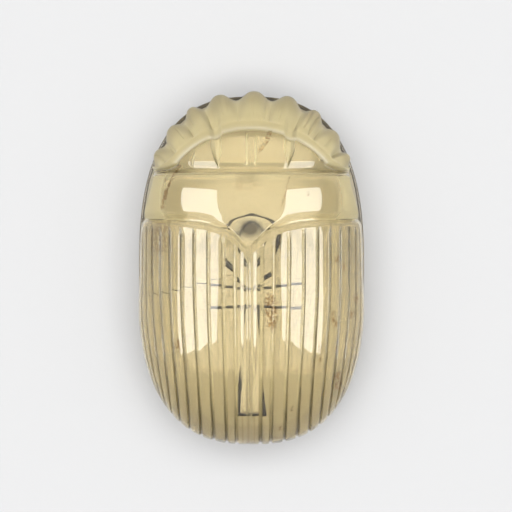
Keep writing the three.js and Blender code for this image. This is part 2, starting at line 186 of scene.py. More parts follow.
@dataclass(frozen=True)
class Dome:
    """The smooth dome that all the carving is cut into.

    Attributes:
        oval: The slab's oval.
        girth: Height of the widest line.
        height: Height of the dome above it.
        tail_overhang: How far the tail stands past the slab.
        setback: How far the front half lies inside the slab's edge.
        nick: Depth of the nicks in the outline beside the collar.
        nick_width: Their width.
        collar_rear: Place of the first pair of nicks.
        head_rear: Place of the second pair.
    """

    oval: Oval
    girth: float = 7.0
    height: float = 13.0
    tail_overhang: float = 0.1
    setback: float = 0.35
    nick: float = 0.45
    nick_width: float = 0.5
    collar_rear: float = 6.9
    head_rear: float = 13.4

    def share(self, y: Any) -> Any:
        """The body's outline as a share of the slab's.

        Args:
            y: Places along the amulet.

        Returns:
            The share, which is less than 1 in the nicks.
        """
        length = 2 * self.oval.half_length
        inside = self.setback * smooth(y, -length / 6, 0) - self.tail_overhang * smooth(-y, 0, length / 3)
        nicks = bump(y - self.collar_rear, self.nick_width) + bump(y - self.head_rear, self.nick_width)
        return 1 - (inside + self.nick * nicks) / self.oval.half_width

    def measure(self, x: Any, y: Any) -> Any:
        """0 in the middle of the dome, 1 on its rim."""
        return self.oval.measure(x, y) / self.share(y)

    def half_width(self, y: Any) -> Any:
        """Half the body's width.

        Args:
            y: Places along the amulet.

        Returns:
            The half width at each place.
        """
        share = self.share(y)
        along = np.abs((y - self.oval.centre_y) / (self.oval.half_length * share)) ** self.oval.power
        return self.oval.half_width * share * np.maximum(0, 1 - along) ** (1 / self.oval.power)

    def lifted(self, x: Any, y: Any, lift: Any, measure: Any = None) -> np.ndarray:
        """Points over (x, y), moved square to the dome.

        Args:
            x: Places across the amulet.
            y: Places along it.
            lift: How far each point stands over the dome.
            measure: The dome's own measure there, if it isn't the plan's.

        Returns:
            An array of points.
        """
        rim = np.minimum(self.measure(x, y) if measure is None else measure, 1)
        rise = np.sqrt(np.maximum(0, 1 - rim * rim))
        ux, uy = self.oval.outwards(x, y)
        slope = rim * self.height / self.oval.half_width
        size = np.sqrt(slope * slope + rise * rise)
        top = self.girth + self.height * rise
        lift = lift / size
        return np.stack([x + ux * slope * lift, y + uy * slope * lift, top + rise * lift], axis=-1)


@dataclass
class WingCases:
    """The two wing cases: grooves that fan down the back, the suture and the front rims.

    Attributes:
        dome: The dome that they are carved from.
        intervals: Gaps between the columns of points across the back.
        row_count: Rows from the tail to the front rims.
        groove_width: Width of a groove.
        groove_depth: Its depth.
        suture_depth: Depth of the suture between the two wing cases.
        suture_offset: Its place across, a little to one side of the middle.
        suture_rim: How far the narrow line beside the suture lies from it.
        line_width: Width of that line, as a share of a groove's.
        line_depth: Its depth, as a share of a groove's.
        line_end: How far behind the collar that line begins and ceases to fade.
        first_groove: How far the first groove lies from the suture.
        fan_start: Degrees round the dome to the first groove of the fan.
        fan_step: Degrees from one groove of the fan to the next.
        fan_count: Grooves in the fan on each side.
        convergence: Share by which the grooves close up at the tail.
        edge_follow: Power with which the outer columns follow the outline.
        tail_depth: Depth of the grooves at the tail, as a share of the full one.
        rim_width: Width of the front rims.
        rim_section: The rim's profile from behind: setbacks in rim widths, lifts in line depths.
        rim_line: Depth of the fine line behind the rim.
        rim_steps: Setbacks of the rows on the rim's rounded front.
        rim_drop: How far the front drops towards the collar.
        rim_fall: How fast it drops.
        crown: How far a ridge swells between two grooves.
        wander: Degrees by which a groove wanders off its line.
        soil: How much grime lies on the middle of the back, from 0 to 1.
        side_shade: Painted shade added towards the sides.
        groove_shade: More painted shade in the grooves towards the sides.
        point_drop: How far the collar's point reaches back over the suture.
        point_spread: How wide the point is.
        point_round: Radius that blunts it.
        grooves: Angle of each groove, from left to right.
        angles: Angle of each column of points.
        nearest: Number of the groove that is nearest to each column.
        profile: How deep in its groove each column lies, from 0 to 1.
        swell: How far the ridge swells at each column, as a share of the crown.
    """

    dome: Dome
    intervals: int = 288
    row_count: int = 78
    groove_width: float = 0.62
    groove_depth: float = 0.36
    suture_depth: float = 0.07
    suture_offset: float = -0.4
    suture_rim: float = 0.9
    line_width: float = 0.5
    line_depth: float = 0.35
    line_end: tuple[float, float] = (8.0, 20.0)
    first_groove: float = 1.85
    fan_start: float = 12.3
    fan_step: float = 7.75
    fan_count: int = 9
    convergence: float = 0.1
    edge_follow: float = 8
    tail_depth: float = 0.75
    rim_width: float = 0.8
    rim_section: tuple[tuple[float, float], ...] = (
        (1.3, 0),
        (1.15, -0.4),
        (1.05, -1),
        (0.95, -0.6),
        (0.85, 0.1),
        (0.75, 0.3),
    )
    rim_line: float = 0.13
    rim_steps: tuple[float, ...] = (0.5, 0.4, 0.3, 0.2, 0.12, 0.05)
    rim_drop: float = 0.75
    rim_fall: float = 0.22
    crown: float = 0.05
    wander: float = 0.12
    soil: float = 0.13
    side_shade: float = 0.32
    groove_shade: float = 0.5
    point_drop: float = 4.3
    point_spread: float = 3.0
    point_round: float = 0.4
    grooves: np.ndarray = field(init=False)
    angles: np.ndarray = field(init=False)
    nearest: np.ndarray = field(init=False)
    profile: np.ndarray = field(init=False)
    swell: np.ndarray = field(init=False)

    def __post_init__(self) -> None:
        """Lays out the grooves and the columns between them."""
        half_width = self.dome.oval.half_width
        side = [math.asin(x / half_width) for x in (self.suture_rim, self.first_groove)]
        side += [math.radians(self.fan_start + k * self.fan_step) for k in range(self.fan_count)]
        self.grooves = np.array([-a for a in reversed(side)] + [0.0] + side)
        half = self.groove_width / 2 / half_width
        across = np.array([-1.12, -1, -0.8, -0.45, 0, 0.45, 0.8, 1, 1.12]) * half
        angles = np.concatenate([[-math.pi / 2, math.pi / 2], (self.grooves[:, None] + across).ravel()])
        angles = np.sort(angles)
        while len(angles) < self.intervals + 1:
            widest = int(np.argmax(np.diff(angles)))
            angles = np.insert(angles, widest + 1, angles[widest : widest + 2].mean())
        self.angles = angles
        gaps = np.abs(angles[:, None] - self.grooves)
        self.nearest = gaps.argmin(axis=1)
        from_suture = np.abs(self.nearest - len(self.grooves) // 2)
        power = np.where(from_suture == 0, 1.6, 0.7)
        away = gaps.min(axis=1) / half / np.where(from_suture == 1, self.line_width, 1)
        self.profile = np.clip(1 - away**2, 0, 1) ** power
        shoulders = np.concatenate([self.grooves - half, self.grooves + half])
        shoulders = np.sort(np.concatenate([shoulders, [-math.pi / 2, math.pi / 2]]))
        place = np.interp(angles, shoulders, np.arange(len(shoulders)))
        ridge = (place.astype(int) % 2 == 0) & (self.profile == 0)
        widths = np.append(np.diff(shoulders), 0)[place.astype(int)] / math.radians(self.fan_step)
        self.swell = np.where(ridge, 4 * (place % 1) * (1 - place % 1), 0) * np.clip(widths, 0, 1) ** 2

    @property
    def shares(self) -> np.ndarray:
        """Each column's place across the back, from -1 to 1."""
        return np.sin(self.angles)

    def column_x(self, share: np.ndarray, y: np.ndarray) -> np.ndarray:
        """Where the columns run, which close up towards the tail.

        Args:
            share: Each column's place across the back, from -1 to 1.
            y: Its place along the amulet.

        Returns:
            Its place across.
        """
        edge = np.abs(share) ** self.edge_follow
        spread = 1 - self.convergence * smooth(-y, 0, self.dome.oval.half_length)
        spread = spread * self.dome.oval.half_width
        return share * blend(spread, self.dome.half_width(y), edge) + self.suture_offset * (1 - share**2)

    def rear_edge(self, x: np.ndarray) -> np.ndarray:
        """The collar's rear edge: level at the sides, dipping to a point over the suture."""
        away = np.hypot(x - self.suture_offset, self.point_round) - self.point_round
        return self.dome.collar_rear - self.point_drop * np.exp(-away / self.point_spread)

    def front(self, setback: float) -> np.ndarray:
        """Where the columns reach a line behind the collar's rear edge.

        Args:
            setback: How far the line lies behind the edge.

        Returns:
            Each column's place along the amulet.
        """
        y = np.full(len(self.angles), self.dome.collar_rear)
        for _ in range(12):
            y = blend(y, self.rear_edge(self.column_x(self.shares, y)) - setback, 0.7)
        return y

    def tail(self) -> np.ndarray:
        """Where the columns reach the outline of the tail.

        Returns:
            Each column's place along the amulet.
        """
        inner = np.clip(self.shares, -0.9999, 0.9999)
        low = np.full(len(inner), -self.dome.oval.half_length - 1.0)
        high = np.zeros(len(inner))
        for _ in range(40):
            y = (low + high) / 2
            outside = self.dome.measure(self.column_x(inner, y), y) > 1
            low, high = np.where(outside, y, low), np.where(outside, high, y)
        return (low + high) / 2

    def rows(self, random: np.random.Generator) -> list[Row]:
        """The rows of the back, from the tail to the front rims.

        Args:
            random: A seeded source for the hand's small irregularities.

        Returns:
            Rows from the tail forwards.
        """
        count = len(self.grooves)
        phase = random.uniform(0, 2 * math.pi, count)
        pitch = random.uniform(0.5, 1.3, count)
        starts = random.uniform(0.05, 0.55, count)
        strength = random.uniform(0.85, 1.12, count)
        middle = count // 2
        starts[middle - 1 : middle + 2] = 0
        strength[middle] = self.suture_depth / self.groove_depth
        strength[[middle - 1, middle + 1]] = self.line_depth
        tail, front = self.tail(), self.front(self.rim_width * 1.4)
        made = []
        for t in np.linspace(0, 1, self.row_count):
            y = blend(tail, front, 1 - math.cos(t * math.pi / 2))
            bend = np.radians(self.wander) * np.sin(2 * math.pi * pitch * t + phase) * math.sin(math.pi * t)
            angle = self.angles + np.interp(self.angles, self.grooves, bend, 0, 0)
            behind = front - y
            start = starts[self.nearest]
            depth = self.groove_depth * strength[self.nearest] * smooth(behind, start - 0.3, start + 0.3)
            fading = (np.abs(self.nearest - middle) == 1) * smooth(behind, *self.line_end)
            depth = depth * (1 - fading) * blend(self.tail_depth, 1, smooth(t, 0, 0.15))
            lift = self.crown * self.swell * smooth(behind, 0, 1) - depth * self.profile
            x = self.column_x(np.sin(angle), y)
            ground = Ground.GROOVE.value * smooth(self.profile, 0.0, 0.5) * smooth(depth, 0, 0.2)
            # Painted shade darkens the back towards its outline, more in the grooves there; the even share is
            # grime.
            outer = smooth(self.dome.measure(x, y), 0.6, 1)
            soil = self.soil + self.side_shade * outer + self.groove_shade * outer * self.profile
            made.append(Row(self.dome.lifted(x, y, lift), ground, soil))
        for setback, lift in self.rim_section:
            made.append(self.rim(setback * self.rim_width, lift * self.rim_line))
        for setback in self.rim_steps:
            made.append(self.rim(setback, -self.rim_drop * math.exp(-setback / self.rim_fall)))
        return made

    def rim(self, setback: float, lift: float) -> Row:
        """A row of the front rims.

        Args:
            setback: How far it lies behind the collar.
            lift: How far it stands over the dome, except at the sides.

        Returns:
            The row.
        """
        y = self.front(setback)
        x = self.column_x(self.shares, y)
        edge = smooth(np.abs(x) / self.dome.half_width(y), 0.85, 1)
        points = self.dome.lifted(x, y, lift * (1 - edge))
        shade = Ground.WORN if lift < -0.1 else Ground.POLISHED
        return Row(points, np.full(len(y), shade.value), self.soil)


@dataclass
class Head:
    """The head: a face bounded by an arc, two long notches and a frill of nine lobes.

    Attributes:
        dome: The dome that it is carved from.
        intervals: Gaps between its columns of points, as many as the wing cases have.
        face_rows: Rows of the face.
        frill_rows: Gaps between the rows of the frill.
        sink: How far the rear line lies under the dome.
        crown: Length over which the face rises from there.
        lift: How far the rest of the face stands over the dome, less than 0 where it lies under it.
        face_centre: Place of the arc's centre along the amulet.
        radius: Radius of the arc.
        arc: Degrees from the axis to the corners where the arc turns straight.
        corner: Share of the first and last lobe that the arc still bounds.
        taper: Width of the face at its rear line, as a share of its width at the arc.
        end_band: How far the arc's ends stay in front of the rear line.
        end_spread: How far they move forwards with each millimetre outside the arc.
        step: Height of the step down to the arc.
        strip: Width of the raised strip outside the arc.
        strip_section: The strip's profile: distances outside the arc and shares of its height.
        strip_rise: How far the strip stands over the face.
        notch_width: Width of the two long notches.
        notch_depth: Their depth.
        notch_clearance: How far their points stay in front of the rear line.
        rib_width: Distance between the two fine lines down the face.
        rib_depth: Depth of the fine lines.
        face_strokes: Ends of the two short strokes on the face.
        valleys: Degrees from the axis to each valley beside a lobe.
        scallop: Depth of the scallops in the edge.
        end_scallop: Depth of the frill's two ends, as a share of theirs.
        shallowing: Share by which the outermost are shallower.
        roundness: Power that rounds the lobes.
        valley_depth: Depth of the valleys between the lobes.
        scoop: Depth of the hollow in each lobe.
        leans: How far each lobe's hollow leans to a side.
        strokes: Fine radial strokes: degrees, inner and outer distance from the centre, and depth.
        overhang: How far the middle lobe stands past the slab.
        spread: Degrees over which that overhang fades to either side.
        soil: Painted shade on the lobes near their edge, from 0 to 1.
        face_soil: How much grime lies on the face.
        index: Number of the lobe that each column runs in.
        within: Its place in that lobe, from 0 to 1.
    """

    dome: Dome
    intervals: int = 288
    face_rows: int = 44
    frill_rows: int = 40
    sink: float = 1.5
    crown: float = 1.6
    lift: float = -0.45
    face_centre: float = 5.9
    radius: float = 13.85
    arc: float = 51.0
    corner: float = 0.3
    taper: float = 0.93
    end_band: float = 0.2
    end_spread: float = 0.12
    step: float = 0.35
    strip: float = 1.0
    strip_section: tuple[tuple[float, float], ...] = (
        (0.08, 0.45),
        (0.2, 0.7),
        (0.45, 0.85),
        (0.7, 1.0),
        (0.88, 1.06),
    )
    strip_rise: float = 0.25
    notch_width: float = 1.8
    notch_depth: float = 0.6
    notch_clearance: float = 0.8
    rib_width: float = 1.3
    rib_depth: float = 0.22
    face_strokes: tuple[tuple, ...] = (((-8.1, 16.4), (-8.7, 14.3)), ((9.6, 16.2), (10.0, 14.9)))
    valleys: tuple[float, ...] = (-59.1, -47.2, -33.3, -22, -6.9, 9.2, 24.1, 36.2, 50.1, 59.4)
    scallop: float = 1.3
    end_scallop: float = 0.6
    shallowing: float = 0.45
    roundness: float = 1.3
    valley_depth: float = 0.55
    scoop: float = 0.22
    leans: tuple[float, ...] = (0.6, -0.9, 0.8, 0.5, -0.7, 1.1, -0.8, 0.9, -1.0)
    strokes: tuple[tuple[float, float, float, float], ...] = (
        (-53.5, 15.2, 17.0, 0.16),
        (-46.0, 15.0, 17.2, 0.16),
        (-38.0, 15.6, 17.6, 0.14),
        (-30.0, 16.6, 18.4, 0.12),
        (-14.5, 16.2, 18.6, 0.10),
        (-11.5, 16.4, 18.7, 0.10),
        (0.4, 15.4, 18.2, 0.14),
        (6.6, 15.2, 18.2, 0.16),
        (14.5, 15.4, 17.8, 0.14),
        (28.2, 15.8, 18.6, 0.30),
        (32.0, 15.4, 18.4, 0.26),
        (43.0, 15.2, 17.0, 0.12),
    )
    overhang: float = 0.5
    spread: float = 24.0
    soil: float = 0.9
    face_soil: float = 0.28
    index: np.ndarray = field(init=False)
    within: np.ndarray = field(init=False)

    def __post_init__(self) -> None:
        """Spreads the columns evenly over the lobes."""
        lobes = len(self.valleys) - 1
        place = np.linspace(0, lobes, self.intervals + 1)
        self.index = np.minimum(place.astype(int), lobes - 1)
        self.within = place - self.index

    def angle(self) -> np.ndarray:
        """Each column's angle from the head's axis, round the face's centre."""
        valleys = np.radians(self.valleys)
        return blend(valleys[self.index], valleys[self.index + 1], self.within)

    def from_face(self, angle: Any, radius: Any) -> tuple[Any, Any]:
        """A place by its angle and distance from the face's centre."""
        return np.sin(angle) * radius, self.face_centre + np.cos(angle) * radius

    def arc_row(self, out: float) -> tuple[np.ndarray, np.ndarray]:
        """The arc that bounds the face, with its two straight ends.

        Args:
            out: How far outside the arc.

        Returns:
            The row's x and y.
        """
        radius = self.radius + out
        x, y = self.from_face(self.angle(), radius)
        last = len(self.valleys) - 2
        corner = self.from_face(math.radians(self.arc), radius)
        end_y = self.dome.head_rear + self.end_band + out * self.end_spread
        end_x = float(self.dome.half_width(end_y))
        for side, lobe, valley in ((-1, 0, self.valleys[1]), (1, last, self.valleys[last])):
            along = 1 - self.within if side < 0 else self.within
            inner = blend(abs(math.radians(valley)), math.radians(self.arc), along / self.corner)
            ax, ay = self.from_face(inner, radius)
            share = (along - self.corner) / (1 - self.corner)
            here = self.index == lobe
            bx, by = blend(corner[0], end_x, share), blend(corner[1], end_y, share)
            x = np.where(here, side * np.where(along < self.corner, ax, bx), x)
            y = np.where(here, np.where(along < self.corner, ay, by), y)
        return x, y

    def rear_x(self) -> np.ndarray:
        """Where the columns cross the head's rear line.

        Returns:
            Each column's place across the amulet.
        """
        x, _ = self.arc_row(0)
        end = float(self.dome.half_width(self.dome.head_rear))
        corner = self.radius * math.sin(math.radians(self.arc))
        away = np.abs(x)
        outer = blend(corner * self.taper, end, (away - corner) / (end - corner))
        return np.sign(x) * np.minimum(np.where(away <= corner, away * self.taper, outer), end)

    def edge_row(self) -> tuple[np.ndarray, np.ndarray]:
        """The scalloped edge of the frill.

        Returns:
            The row's x and y.
        """
        angle = self.angle()
        radius = np.zeros(len(angle))
        step = self.dome.oval.half_length
        while step > 0.001:
            x, y = self.from_face(angle, radius + step)
            radius = np.where(self.dome.oval.measure(x, y) < 1, radius + step, radius)
            step /= 2
        over = self.overhang * bump(angle, math.radians(self.spread))
        shallower = 1 - self.shallowing * (angle / math.radians(self.valleys[0])) ** 2
        scallop = self.scallop * shallower * (0.5 + 0.5 * np.cos(2 * math.pi * self.within)) ** self.roundness
        scallop[[0, -1]] *= self.end_scallop
        return self.from_face(angle, radius + over - scallop)

    def notches(self, x: np.ndarray, y: np.ndarray) -> np.ndarray:
        """The two long notches, which come to a point behind.

        Args:
            x: Places across the amulet.
            y: Places along it.

        Returns:
            Their depth at each place.
        """
        run = self.face_centre + self.radius - self.dome.head_rear
        along = (y - self.dome.head_rear - self.notch_clearance) / run
        half = self.notch_width / 2 * np.clip(along * 2.6, 0.001, 1)
        depth = np.zeros(len(x))
        for valley in (self.valleys[3], self.valleys[6]):
            top, _ = self.from_face(math.radians(valley), self.radius)
            axis = blend(top * self.taper, top, along)
            depth = np.maximum(depth, np.clip(1.5 * (1 - np.abs(x - axis) / half), 0, 1))
        return np.where(along > 0, self.notch_depth * depth, 0)

    def face_lines(self, x: np.ndarray, y: np.ndarray) -> np.ndarray:
        """The fine lines on the face: a pair down the middle and two short strokes.

        Args:
            x: Places across the amulet.
            y: Places along it.

        Returns:
            Their depth at each place.
        """
        line = self.rib_width / 2
        top = self.face_centre + self.radius - 0.4
        depth = np.zeros(len(x))
        for side in (-1, 1):
            start, end = (side * line, top), (side * line * 0.9, self.dome.head_rear + 1.1)
            depth = np.maximum(depth, self.rib_depth * np.sqrt(cut(x, y, start, end, 0.5)))
        for start, end in self.face_strokes:
            depth = np.maximum(depth, self.rib_depth * cut(x, y, start, end, 0.45))
        return depth

    def frill_cuts(self, x: np.ndarray, y: np.ndarray) -> np.ndarray:
        """The radial strokes that score the frill.

        Args:
            x: Places across the amulet.
            y: Places along it.

        Returns:
            Their depth at each place.
        """
        depth = np.zeros(len(x))
        for degrees, inner, outer, deep in self.strokes:
            start = self.from_face(math.radians(degrees), inner)
            end = self.from_face(math.radians(degrees), outer)
            depth = np.maximum(depth, deep * cut(x, y, start, end, 0.2 + 2 * deep))
        return depth

    def face(self) -> list[Row]:
        """The face.

        Returns:
            Rows from the head's rear line to the arc.
        """
        ax, ay = self.arc_row(0)
        rear, made = self.rear_x(), []
        for t in np.linspace(0, 1, self.face_rows) ** 1.2:
            x, y = blend(rear, ax, t), blend(self.dome.head_rear, ay, t)
            rise = 1 - (1 - np.clip((y - self.dome.head_rear) / self.crown, 0, 1)) ** 1.25
            carved = self.notches(x, y) + self.face_lines(x, y)
            edge = smooth(np.abs(x) / self.dome.half_width(y), 0.85, 1)
            lift = blend(-self.sink, self.lift, rise) - carved - self.step * smooth(t, 0.94, 1)
            ground = np.clip(Ground.CUT.value * smooth(carved, 0.02, 0.15) + smooth(t, 0.95, 1), 0, 1)
            made.append(Row(self.dome.lifted(x, y, lift * (1 - edge)), ground, self.face_soil))
        return made

    def frill(self) -> list[Row]:
        """The raised strip and the frill.

        Returns:
            Rows from the arc to the scallops.
        """
        made = []
        for out, share in self.strip_section:
            x, y = self.arc_row(out)
            edge = smooth(np.abs(x) / self.dome.half_width(y), 0.85, 1)
            lift = self.lift + blend(-self.step, self.strip_rise, share) - self.notches(x, y)
            made.append(Row(self.dome.lifted(x, y, lift * (1 - edge)), np.full(len(x), Ground.CUT.value)))
        sx, sy = self.arc_row(self.strip)
        ex, ey = self.edge_row()
        first = np.minimum(self.dome.measure(sx, sy), 1)
        valley = np.abs(2 * self.within - 1) ** 3
        lean = np.interp(self.angle(), np.linspace(-1.1, 1.1, len(self.leans)), self.leans)
        scoop = self.scoop * (np.sin(math.pi * self.within) ** 2 + lean * np.sin(2 * math.pi * self.within))
        for k in range(self.frill_rows + 1):
            t = math.sin(k / self.frill_rows * math.pi / 2)
            x, y = blend(sx, ex, t), blend(sy, ey, t)
            flat = blend(self.lift + self.strip_rise, 0, smooth(t, 0.6, 1))
            carved = (self.valley_depth * valley + scoop) * math.sin(math.pi * t**0.7)
            carved = carved + self.frill_cuts(x, y) + self.notches(x, y) * (1 - t)
            ends = smooth(first, 0.97, 1)
            points = self.dome.lifted(x, y, (flat - carved) * (1 - ends), blend(first, 1, t))
            ground = np.full(len(x), blend(Ground.CUT.value, Ground.MATT.value, smooth(t, 0, 0.3)))
            # Painted shade darkens the lobes towards the scalloped edge, less towards the valleys between
            # them.
            made.append(Row(points, ground, self.soil * smooth(t, 0.3, 0.95) * (1 - valley)))
        return made


@dataclass
class Collar:
    """The smooth collar between wing cases and head, with its point over the suture.

    Attributes:
        dome: The dome that it is carved from.
        wings: The wing cases behind it.
        head: The head in front of it.
        row_count: Rows of the collar.
        bevel_rows: Rows of the bevel on its rear edge.
        front: Place of its front edge.
        swell: How far its crest stands over the dome.
        crest: Place of the crest.
        roll: Distance from the crest at which most of the roll is reached.
        roll_drop: How far the collar rolls down from its crest.
        bevel_width: Width of the bevel.
        bevel_drop: How far it drops.
        point_spread: How wide the point is in which the bevel narrows.
        point_narrowing: Share by which it narrows there.
        front_drop: How far the front edge drops.
        front_ground: How matt the front edge is, from 0 to 1.
        gap_section: Profile of the groove up to the head: shares of its width and lifts.
        soil: How much grime lies on the collar, from 0 to 1.
    """

    dome: Dome
    wings: WingCases
    head: Head
    row_count: int = 40
    bevel_rows: int = 9
    front: float = 12.75
    swell: float = 0.5
    crest: float = 10.9
    roll: float = 5.0
    roll_drop: float = 1.5
    bevel_width: float = 1.2
    bevel_drop: float = 0.35
    point_spread: float = 3.5
    point_narrowing: float = 0.6
    front_drop: float = 0.05
    front_ground: float = 0.45
    gap_section: tuple[tuple[float, float], ...] = (
        (0.1, -0.08),
        (0.25, 0.06),
        (0.5, 0.04),
        (0.75, -0.12),
        (0.88, -0.5),
        (0.95, -0.95),
    )
    soil: float = 0.11

    def rows(self) -> list[Row]:
        """The collar and the narrow ridge in front of it.

        Returns:
            Rows from the collar's rear edge to the head.
        """
        rear = self.wings.front(0)
        back = self.wings.column_x(self.wings.shares, rear)
        head = self.head.rear_x()
        middle = bump(back - self.wings.suture_offset, self.point_spread)
        bevel = rear + self.bevel_width * (1 - self.point_narrowing * middle)
        drop = self.bevel_drop * (1 - self.point_narrowing * middle)
        places = [(rear, bevel, t, True) for t in np.linspace(0, 1, self.bevel_rows)]
        places += [(bevel, self.front, t, False) for t in np.linspace(0, 1, self.row_count)[1:]]
        made = []
        for start, end, t, on_bevel in places:
            y = blend(start, end, t)
            band = (y - rear) / (self.front - rear)
            x = blend(back, head, smooth(band, 0, 1))
            rim = self.dome.half_width(y)
            rolled = np.abs(self.crest - y) / self.roll
            swell = self.swell - self.roll_drop * rolled**2 / np.sqrt(1 + rolled**4)
            lift = swell - drop * (1 - smooth(t, 0, 1)) if on_bevel else swell
            lift = lift - self.front_drop * smooth(band, 0.85, 1)
            edge = smooth(np.abs(x) / rim, 0.75, 1)
            ends = Ground.MATT.value * smooth(np.abs(x) / rim, 0.68, 0.88)
            ends = np.maximum(ends, self.front_ground * smooth(band, 0.82, 0.95))
            ground = np.full(len(x), Ground.CUT.value) if on_bevel and t < 0.1 else ends
            points = self.dome.lifted(np.clip(x, -rim, rim), y, lift * (1 - edge))
            made.append(Row(points, ground, self.soil))
        gap = self.dome.head_rear - self.front
        for along, lift in self.gap_section:
            y = np.full(len(head), self.front + gap * along)
            rim = self.dome.half_width(y)
            edge = smooth(np.abs(head) / rim, 0.85, 1)
            x = np.clip(head, -rim, rim)
            shade = Ground.CUT if lift < -0.3 else Ground.WORN
            made.append(Row(self.dome.lifted(x, y, lift * (1 - edge)), np.full(len(x), shade.value)))
        return made


@dataclass
class Leg:
    """A folded leg on the flank, from its hip to its foot.

    Attributes:
        hip: Degrees round the amulet from the head, and share of the flank's height from the girth.
        foot: The same for the foot.
    """

    hip: tuple[float, float]
    foot: tuple[float, float]


@dataclass
class Flank:
    """The undercut flank with three folded legs a side, and the slab below it.

    Attributes:
        dome: The dome over it.
        slab_height: Height of the slab.
        lip: Height of the lip under the widest line.
        lip_levels: Rings of points down the lip.
        undercut: Depth of the undercut.
        slab_edge: Radius of the slab's upper edge.
        relief: How far the legs stand out of the undercut.
        leg_width: Half the width of a leg.
        leg_step: Depth of the notch at its knee.
        levels: Rings of points from the lip to the slab, counting both.
        soil: Painted shade on the flank and the slab, from 0 to 1.
        legs: The three legs, which both sides have.
    """

    dome: Dome
    slab_height: float = 3.0
    lip: float = 0.9
    lip_levels: int = 4
    undercut: float = 2.1
    slab_edge: float = 0.3
    relief: float = 1.5
    leg_width: float = 1.5
    leg_step: float = 0.35
    levels: int = 15
    soil: float = 0.8
    legs: tuple[Leg, ...] = (
        Leg((62, 0.35), (14, 0.85)),
        Leg((72, 0.4), (118, 0.85)),
        Leg((98, 0.35), (163, 0.85)),
    )

    def legs_at(self, x: np.ndarray, y: np.ndarray, down: float) -> np.ndarray:
        """How far the legs stand out of the undercut.

        Args:
            x: Places of the girth, across.
            y: Places of the girth, along.
            down: Share of the flank's height from the girth down.

        Returns:
            The relief at each place.
        """
        oval = self.dome.oval
        arc = math.radians(1) * (oval.half_length + oval.half_width) / 2
        high = self.dome.girth - self.slab_height
        turn = np.degrees(np.arctan2(np.abs(x), y - oval.centre_y))
        here = np.stack([turn * arc, np.full(len(x), down * high)])
        relief = np.zeros(len(x))
        for leg in self.legs:
            start = np.array([leg.hip[0] * arc, leg.hip[1] * high])
            run = np.array([leg.foot[0] * arc, leg.foot[1] * high]) - start
            along = np.clip(run @ (here - start[:, None]) / (run @ run), 0, 1)
            away = np.hypot(*(here - start[:, None] - run[:, None] * along))
            knee = self.leg_step * bump((along - 0.5) * 10, 1)
            round_leg = np.maximum(0, 1 - (away / self.leg_width) ** 2)
            relief = np.maximum(relief, round_leg * (self.relief - knee))
        return relief

    def ring(self, girth: np.ndarray, down: float) -> np.ndarray:
        """A ring of points round the flank.

        Args:
            girth: Points of the widest line.
            down: Share of the flank's height from there down.

        Returns:
            The points.
        """
        x, y, z = girth.T
        sx, sy = self.dome.oval.under(x, y)
        ux, uy = self.dome.oval.outwards(sx, sy)
        depth = (self.undercut - self.legs_at(x, y, down)) * smooth(down, 0.1, 0.45)
        t = smooth(down, 0, 0.5)
        height = blend(z, self.slab_height, down)
        return np.stack([blend(x, sx, t) - ux * depth, blend(y, sy, t) - uy * depth, height], axis=1)

    def slab_rings(self, girth: np.ndarray) -> list[np.ndarray]:
        """The rings of points round the slab.

        Args:
            girth: Points of the widest line.

        Returns:
            The rings, from its rounded upper edge to its underside.
        """
        sx, sy = self.dome.oval.under(girth[:, 0], girth[:, 1])
        ux, uy = self.dome.oval.outwards(sx, sy)
        edge, high = self.slab_edge, self.slab_height
        profile = [(edge * 2, high)]
        for turn in np.radians([0, 30, 60, 90]):
            profile.append((edge * (1 - math.sin(turn)), high - edge * (1 - math.cos(turn))))
        profile += [(edge / 4, high / 2), (edge / 2, edge), (edge * 0.8, edge / 3), (edge * 1.5, 0)]
        level = np.ones(len(sx))
        return [np.stack([sx - ux * inset, sy - uy * inset, level * z], axis=1) for inset, z in profile]


